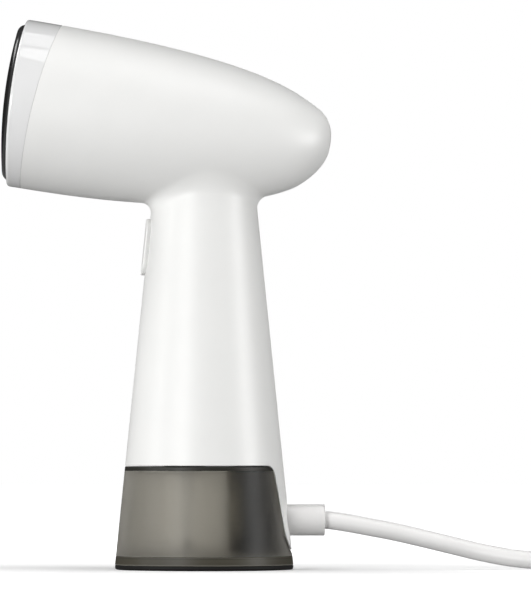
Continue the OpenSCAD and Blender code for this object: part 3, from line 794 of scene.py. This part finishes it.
def make_collar():
    """A ring with a rounded front rim, whose rear edge follows the slanted seam."""
    turn = np.linspace(0, 2 * np.pi, 193)[:-1]
    down, side = np.cos(turn), np.sin(turn) ** 2
    seam = SEAM_U - HEAD_R * down * math.tan(SEAM_TILT) - SEAM_BOW * side
    front = RIM_U + RIM_LEAN * HEAD_R * down - RIM_BOW * side
    rim_r, rear_r = 1.4, 0.12
    flat = np.ones_like(turn)

    # Each row's depth below the head's surface and its place along the axis, from the inside round the rim
    # and the outside to the seam, and back inside
    rows = [(2.9 * flat, front + 1.2), (2.8 * flat, front + 0.4), (2.62 * flat, front + 0.12)]
    rows += [(2.35 * flat, front + 0.02), (1.9 * flat, front)]
    for i in range(9):
        a = math.radians(90 * i / 8)
        rows.append((rim_r * (1 - math.sin(a)) * flat, front + rim_r * (1 - math.cos(a))))
    for i in range(1, 7):
        rows.append((0 * flat, front + rim_r + (seam - rear_r - front - rim_r) * i / 6))
    for i in range(1, 4):
        a = math.radians(90 * i / 3)
        rows.append((rear_r * (1 - math.cos(a)) * flat, seam - rear_r * (1 - math.sin(a))))
    rows += [(2.2 * flat, seam), (2.5 * flat, seam - 0.3), (2.6 * flat, seam - 2.0), (2.9 * flat, 0 * flat)]
    points = []
    for inset, u in rows:
        r = head_radius(u) - inset
        points.append(head_point(droop(u) + r * np.cos(turn), r * np.sin(turn), u))
    return ring_mesh(points)


def ring_mesh(rows, closed=True):
    """Faces between rows of points that go once round, and back from the last row to the first if closed."""
    n = len(rows[0])
    faces = []
    count = len(rows) if closed else len(rows) - 1
    for i in range(count):
        a, b = i * n, ((i + 1) % len(rows)) * n
        faces += [(a + k, a + (k + 1) % n, b + (k + 1) % n, b + k) for k in range(n)]
    return np.vstack(rows), faces


def with_ends(points, faces, n):
    """A row mesh whose first and last rows, of n points each, are closed with a face."""
    return points, faces + [tuple(range(n))[::-1], tuple(range(len(points) - n, len(points)))]


make_piece("collar_ring", "housing", make_collar(), "collar_white", ["collar"])


# ---------------------------------------------------------------- round pieces
def rounded(corners, arc=4):
    """An outline through (radius, height, rounding) corners, each with an arc of its own rounding."""
    out = []
    for i, (x, y, r) in enumerate(corners):
        p = np.array((x, y), float)
        if not r:
            out.append(p)
            continue
        a = np.array(corners[i - 1][:2], float) - p
        b = np.array(corners[(i + 1) % len(corners)][:2], float) - p
        a, b = a / np.linalg.norm(a), b / np.linalg.norm(b)
        half = math.acos(float(np.clip(a @ b, -1, 1))) / 2
        centre = p + (a + b) / np.linalg.norm(a + b) * r / math.sin(half)
        first, last = p + a * r / math.tan(half) - centre, p + b * r / math.tan(half) - centre
        angle = math.pi - 2 * half
        for k in range(arc + 1):
            t = k / arc
            turned = first * math.sin((1 - t) * angle) + last * math.sin(t * angle)
            out.append(centre + turned / math.sin(angle))
    return out


def lathe(outline, segments=144, along="z", origin=(0, 0, 0)):
    """A turned piece. An outline that ends on the axis is closed there, and any other is a closed loop."""
    turn = np.linspace(0, 2 * np.pi, segments + 1)[:-1]
    solid = outline[0][0] == 0 and outline[-1][0] == 0
    rows = []
    for r, h in outline[1:-1] if solid else outline:
        a, b, c = r * np.cos(turn), r * np.sin(turn), np.full_like(turn, h)
        rows.append(np.stack([c, a, b] if along == "x" else [a, b, c], 1))
    points, faces = ring_mesh(rows, closed=not solid)
    if solid:
        ends = [[0, 0, h] if along == "z" else [h, 0, 0] for h in (outline[0][1], outline[-1][1])]
        n, last = len(points), (len(rows) - 1) * segments
        faces += [(n, (k + 1) % segments, k) for k in range(segments)]
        faces += [(n + 1, last + k, last + (k + 1) % segments) for k in range(segments)]
        points = np.vstack([points, ends])
    return points + np.array(origin, float), faces


foot = rounded([(0, 0, 0), (cone_r(0) - 0.3, 0, 1.1), (cone_r(FOOT_TOP), FOOT_TOP, 0.25), (0, FOOT_TOP, 0)])
make_piece("foot_ring", "tank", lathe(foot), "rubber_dark", ["foot_pad"])

BAND_LOW = FOOT_TOP + 0.05
band = rounded([
    (0, BAND_LOW, 0), (cone_r(FOOT_TOP), BAND_LOW, 0.5), (cone_r(BAND_TOP) + 0.05, BAND_TOP, 0.35),
    (0, BAND_TOP, 0),
])
# The band's finish paints a highlight on its lower edge and shade and a highlight at its upper edge
make_piece("tank_floor", "tank", lathe(band), "tank_dark", ["tank_base"], band_brown_painted_edge_light)

# The pipe's (radius, height) outline: its foot, the flange above the tank, the nipple, and the bore
pipe = [
    (1.8, 9), (3, 9), (3, 59.05), (7, 59.05), (7, 60.9), (2.4, 60.9), (2.4, 67), (1.4, 67), (1.4, 60),
    (1.8, 60),
]
pipe_shape = lathe(pipe, 48, "z", (PIPE_X, 0, 0))
make_piece("suction_pipe", "housing", pipe_shape, "silicone", ["intake_pipe"], pipe_clear)

sleeve = rounded([
    (SLEEVE_R, SLEEVE_START, 0.3), (SLEEVE_R, SLEEVE_END, 0.7), (SLEEVE_BORE, SLEEVE_END, 0.4),
    (SLEEVE_BORE, SLEEVE_START, 0.3),
])
sleeve_shape = lathe(sleeve, 96, "x", (0, 0, CORD_Z))
make_piece("sleeve", "housing", sleeve_shape, "cord_white", ["cord_sleeve"], sleeve_white)

STOPPER_R, STOPPER_LOW = 7.35, TANK_TOP - 2.8
CAP_R, CAP_LOW, CAP_HIGH = 9.4, TANK_TOP + 0.05, TANK_TOP + 1.8
stopper = rounded([
    (0, STOPPER_LOW, 0), (STOPPER_R, STOPPER_LOW, 0.5), (STOPPER_R, CAP_LOW, 0.05), (CAP_R, CAP_LOW, 0.3),
    (CAP_R, CAP_HIGH, 0.7), (0, CAP_HIGH, 0),
])
stopper_shape = lathe(stopper, 72, "z", (FILLER_X, FILLER_Y, 0))
make_piece("stopper_cap", "stopper", stopper_shape, "rubber_dark", ["filler_stopper"])


# ---------------------------------------------------------------- steam plate
PLATE_R, PLATE_THICK = 37.2, 4.2
HOLE_R = 1.3
DOME_U, DOME_LEAN, DOME_R = -8.45, 0.0318, 204.0  # the dome's middle, its lean forward, and its radius
dome_centre = HEAD_FRONT + (DOME_U - DOME_LEAN**2 * DOME_R / 2 + DOME_R) * AXIS - DOME_LEAN * DOME_R * DOWN


def dome_field(p):
    """Distance outside the dome's sphere."""
    return np.linalg.norm(p - dome_centre, axis=1) - DOME_R


def rim_field(p):
    """Distance inside the plate's round rim."""
    _, down, y = head_coords(p)
    return PLATE_R - np.hypot(down, y)


def hole_field(p):
    """Distance outside the nearest steam hole: twelve in an outer ring and six in an inner one."""
    _, down, y = head_coords(p)
    places = [(21, 30 * k) for k in range(12)] + [(10.5, 60 * k + 15) for k in range(6)]
    middles = [(r * math.cos(math.radians(a)), r * math.sin(math.radians(a))) for r, a in places]
    return np.min([np.hypot(down - d, y - e) for d, e in middles], 0) - HOLE_R


plate_net = lattice((-40, -40), (40, 40), 1.3, lambda a, b: head_point(a, b, DOME_U))
plate = panel(dome_field, plate_net, [(rim_field, 3.2), (hole_field, 0.25)], PLATE_THICK, arc=8)
make_piece("face_plate", "housing", plate, "plate_black", ["steam_plate"])


# ---------------------------------------------------------------- trigger
def trigger_surface(p):
    """Distance outside the trigger's face, which follows the handle's cone."""
    return cone_field(p, TRIGGER_PROUD)


def on_trigger(y, z):
    """Points on the trigger's face from their Y and Z."""
    return np.stack([-np.sqrt((cone_r(z) + TRIGGER_PROUD) ** 2 - y**2), y, z], 1)


trigger_net = lattice((-8, 137), (8, 168), 0.8, on_trigger)
TRIGGER_THICK = 5.0
cap = panel(trigger_surface, trigger_net, [(lambda p: -stadium_field(p), 0.7)], TRIGGER_THICK)
make_piece("trigger_cap", "trigger", cap, "shell_white", ["trigger"])


def box_mesh(low, high):
    """A box between two corners."""
    x, y, z = zip(low, high)
    points = np.array([(a, b, c) for a in x for b in y for c in z], float)
    faces = [(0, 1, 3, 2), (4, 6, 7, 5), (0, 4, 5, 1), (2, 3, 7, 6), (0, 2, 6, 4), (1, 5, 7, 3)]
    return points, faces


# The flange that keeps the trigger from falling out of its hole
FLANGE_LOW, FLANGE_HIGH = (-20.8, -8.2, 137.4), (-19.2, 8.2, 167.6)
make_piece("trigger_flange", "trigger", box_mesh(FLANGE_LOW, FLANGE_HIGH), "shell_white")


def make_spring():
    """The trigger's return spring, which is pressed together between the trigger's flange and its guide."""
    low, high = low_high("trigger_spring")
    wire, turns, around, sides = 0.35, 7, 24, 8
    coil_r = (high[1] - low[1]) / 2 - wire
    middle = (low + high) / 2
    first, last = low[0] + wire, high[0] - wire
    t = np.linspace(0, 1, turns * around + 1)
    a = 2 * np.pi * turns * t
    spine = np.stack([first + (last - first) * t, coil_r * np.cos(a), middle[2] + coil_r * np.sin(a)], 1)
    out = np.stack([0 * a, np.cos(a), np.sin(a)], 1)
    rows = []
    ring = [2 * np.pi * i / sides for i in range(sides)]
    for k in range(len(t)):
        rows.append(np.array([spine[k] + wire * (math.cos(b) * out[k] + math.sin(b) * AXIS_X) for b in ring]))
    points, faces = with_ends(*ring_mesh(rows, closed=False), sides)
    spring = smooth_mesh("return_spring", points, facing_out(points, faces), MATERIALS["steel"])
    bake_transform(spring)
    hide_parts("trigger_spring")


make_spring()


# ---------------------------------------------------------------- tongue
def make_tongue():
    """The tongue's body behind its skin, from its flat front in the tank's pocket to just under the skin."""
    edge, hidden, skin, top = 0.8, 0.03, 1.3, SHELL_END - 0.1

    def outline(inset):
        r = TONGUE_R - inset
        arc = np.linspace(-TONGUE_FLARE, TONGUE_FLARE - math.pi, 41)
        side = (r + (top - TONGUE_Z) * math.sin(TONGUE_FLARE)) / math.cos(TONGUE_FLARE)
        y = np.concatenate([[side], r * np.cos(arc), [-side]])
        z = np.concatenate([[top], TONGUE_Z + r * np.sin(arc), [top]])
        return y, z

    rows = []
    for k in range(6):
        a = math.radians(18 * k)
        y, z = outline(hidden + edge * (1 - math.sin(a)))
        rows.append(np.stack([np.full_like(y, TONGUE_X + edge * (1 - math.cos(a))), y, z], 1))
    y, z = outline(hidden)
    rows.append(np.stack([np.sqrt((cone_r(z) - skin) ** 2 - y**2), y, z], 1))
    return with_ends(*ring_mesh(rows, closed=False), len(y))


make_piece("tongue_body", "housing", make_tongue(), "shell_white")


# ---------------------------------------------------------------- water tank
TANK_WALL, LINER_WALL = 2.2, 1.6
LOW_GAP, LOW_GAP_TOP, LOW_GAP_H = 1.0, 22.0, 12.0  # the wider gap at the tongue's end, and where it grows


def tank_edge_field(p):
    """Distance inside the tank's outer edge, a gap away from the shells that grows at the tongue's end."""
    t = np.clip((LOW_GAP_TOP - p[:, 2]) / LOW_GAP_H, 0, 1)
    return -shell_end_field(p) - TONGUE_GAP - LOW_GAP * smooth_step(t)


def above_band_field(p):
    """Distance above the tank's lower band."""
    return p[:, 2] - BAND_TOP - 0.05


def below_lid_field(p):
    """Distance below the lid."""
    return LID_LOW - 0.04 - p[:, 2]


def pocket_field(p):
    """Distance outside the pocket that the tongue stands in."""
    side = tongue_field(p) - TONGUE_GAP
    front = TONGUE_X - TONGUE_GAP - p[:, 0]
    return -joined(-side, -front, 1.0)


cone_net = surface_net(cone_field, (-46, -46, -1), (46, 46, 56), 1.7)
wall_fields = [(tank_edge_field, 1.0), (above_band_field, 0.15), (below_lid_field, 0.12)]
tank_wall = panel(cone_field, cone_net, wall_fields, TANK_WALL)
make_piece("tank_wall", "tank", tank_wall, "tank_smoke", ["tank_body"])


def liner_surface(p):
    """Distance inside the pocket: its wall faces the tongue."""
    return -pocket_field(p)


liner_net = surface_net(liner_surface, (8, -30, 1), (46, 30, 54), 1.6)
liner_fields = [
    (above_band_field, 0.1),
    (below_lid_field, 0.1),
    (lambda p: -cone_field(p) - TANK_WALL - 0.1, 0.1),
]
liner = panel(liner_surface, liner_net, liner_fields, LINER_WALL, inner_r=0.1)
# The liner's finish paints shade deeper into the pocket
make_piece("tank_liner", "tank", liner, "tank_smoke", material=pocket_smoke_painted_shade)

RIM_WALL = 3.0
rim_fields = [(tank_edge_field, 0.5), (lambda p: p[:, 2] - LID_LOW, 0.1)]
rim = panel(cone_field, cone_net, rim_fields, RIM_WALL)
make_piece("lid_rim", "tank", rim, "tank_dark", ["tank_lid"])

LID_TOP = TANK_TOP - 0.05  # inside its rim the lid is a little lower
PIPE_HOLE_R, FILLER_HOLE_R = 7.0, 7.5


def lid_surface(p):
    return p[:, 2] - LID_TOP


def on_lid(x, y):
    return np.stack([x, y, np.full_like(x, LID_TOP)], 1)


lid_net = lattice((-44, -44), (44, 44), 2.0, on_lid)
lid_fields = [
    (lambda p: -cone_field(p) - RIM_WALL + 0.1, 0.1),
    (pocket_field, 0.2),
    (lambda p: np.hypot(p[:, 0] - PIPE_X, p[:, 1]) - PIPE_HOLE_R, 0.2),
    (lambda p: np.hypot(p[:, 0] - FILLER_X, p[:, 1] - FILLER_Y) - FILLER_HOLE_R, 0.2),
]
lid = panel(lid_surface, lid_net, lid_fields, LID_THICK - 0.1, inner_r=0.1)
make_piece("lid_plate", "tank", lid, "tank_dark")


# ---------------------------------------------------------------- stage and lights
WORLD_LOW, WORLD_HIGH = 0.25, 0.0  # the world's light from below and from above
FLOOR_GLOW = 0.24  # the floor's own light under the steamer
AIM_HEIGHT = 0.13  # where the lights aim, in metres


def make_floor():
    """A pale floor with a painted glow, weakest under the steamer, that turns it white away from the steamer.

    The steamer stands on its tank, so the floor goes with the tank when that is pulled off.
    """
    bpy.ops.mesh.primitive_plane_add(size=12, location=(0, 0, 0))
    floor = bpy.context.object
    floor.name = "floor"
    finish = make_material("floor_white_painted_glow", grey(0.9), grey(0.89), (0.7, 0.8), bump=0.0)
    tree = finish.node_tree
    shader = tree.nodes["Principled BSDF"]
    where = tree.nodes.new("ShaderNodeTexCoord")
    length = tree.nodes.new("ShaderNodeVectorMath")
    length.operation = "LENGTH"
    glow = tree.nodes.new("ShaderNodeMapRange")
    glow.inputs["From Min"].default_value = 0.06
    glow.inputs["From Max"].default_value = 0.45
    glow.inputs["To Min"].default_value = FLOOR_GLOW
    tree.links.new(where.outputs["Object"], length.inputs[0])
    tree.links.new(length.outputs["Value"], glow.inputs["Value"])
    # A painted glow: weakest within 6 cm of the middle and full from 45 cm out, so the floor is painted
    # darker round the steamer
    tree.links.new(glow.outputs["Result"], shader.inputs["Emission Strength"])
    shader.inputs["Emission Color"].default_value = (1, 1, 1, 1)
    floor.data.materials.append(finish)
    floor.visible_diffuse = False
    floor.visible_glossy = False
    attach(floor, "tank")


def make_world():
    """A white backdrop for the camera and through clear parts, and a dim light from below for all else."""
    world = bpy.data.worlds.new("studio")
    scene.world = world
    world.use_nodes = True
    tree = world.node_tree
    dim = tree.nodes["Background"]
    white = tree.nodes.new("ShaderNodeBackground")
    white.inputs["Color"].default_value = (1, 1, 1, 1)
    where = tree.nodes.new("ShaderNodeTexCoord")
    split = tree.nodes.new("ShaderNodeSeparateXYZ")
    height = tree.nodes.new("ShaderNodeMapRange")
    height.inputs["From Min"].default_value = -1.0
    ramp = tree.nodes.new("ShaderNodeValToRGB")
    ramp.color_ramp.elements[0].position = 0.4
    ramp.color_ramp.elements[0].color = (*grey(WORLD_LOW), 1)
    ramp.color_ramp.elements[1].position = 0.5
    ramp.color_ramp.elements[1].color = (*grey(WORLD_HIGH), 1)
    ray = tree.nodes.new("ShaderNodeLightPath")
    either = tree.nodes.new("ShaderNodeMath")
    either.operation = "MAXIMUM"
    mix = tree.nodes.new("ShaderNodeMixShader")
    link = tree.links.new
    link(where.outputs["Generated"], split.inputs[0])
    link(split.outputs["Z"], height.inputs["Value"])
    link(height.outputs["Result"], ramp.inputs["Fac"])
    link(ramp.outputs["Color"], dim.inputs["Color"])
    link(ray.outputs["Is Camera Ray"], either.inputs[0])
    link(ray.outputs["Is Transmission Ray"], either.inputs[1])
    link(either.outputs[0], mix.inputs["Fac"])
    link(dim.outputs[0], mix.inputs[1])
    link(white.outputs[0], mix.inputs[2])
    link(mix.outputs[0], tree.nodes["World Output"].inputs["Surface"])


def softbox(name, azimuth, elevation, size, power, distance=1.6):
    """A square soft light aimed at the middle of the steamer. Cameras and clear parts don't show it."""
    light = bpy.data.lights.new(name, "AREA")
    light.shape = "SQUARE"
    light.size = size
    light.energy = power
    lamp = bpy.data.objects.new(name, light)
    lamp.visible_transmission = False
    lamp.visible_camera = False
    scene.collection.objects.link(lamp)
    a, e = math.radians(azimuth), math.radians(elevation)
    out = Vector((math.cos(a) * math.cos(e), math.sin(a) * math.cos(e), math.sin(e)))
    lamp.location = Vector((0, 0, AIM_HEIGHT)) + out * distance
    lamp.rotation_euler = (-out).to_track_quat("-Z", "Y").to_euler()


make_floor()
make_world()
softbox("key_left", 240, 5, 0.5, 12.3)
softbox("side_left", 225, 5, 0.5, 6.0)
softbox("edge_left", 195, 5, 0.5, 5.9)
softbox("side_right", 342, 5, 0.5, 13.4)
softbox("top_right", 312, 65, 0.9, 8.6)
softbox("top_back", 95, 82, 0.74, 4.1)
softbox("back_left", 150, 40, 0.6, 7.0)
scene.view_settings.view_transform = "Standard"


# ---------------------------------------------------------------- the end
def corners(pair):
    return [list(c) for c in pair]
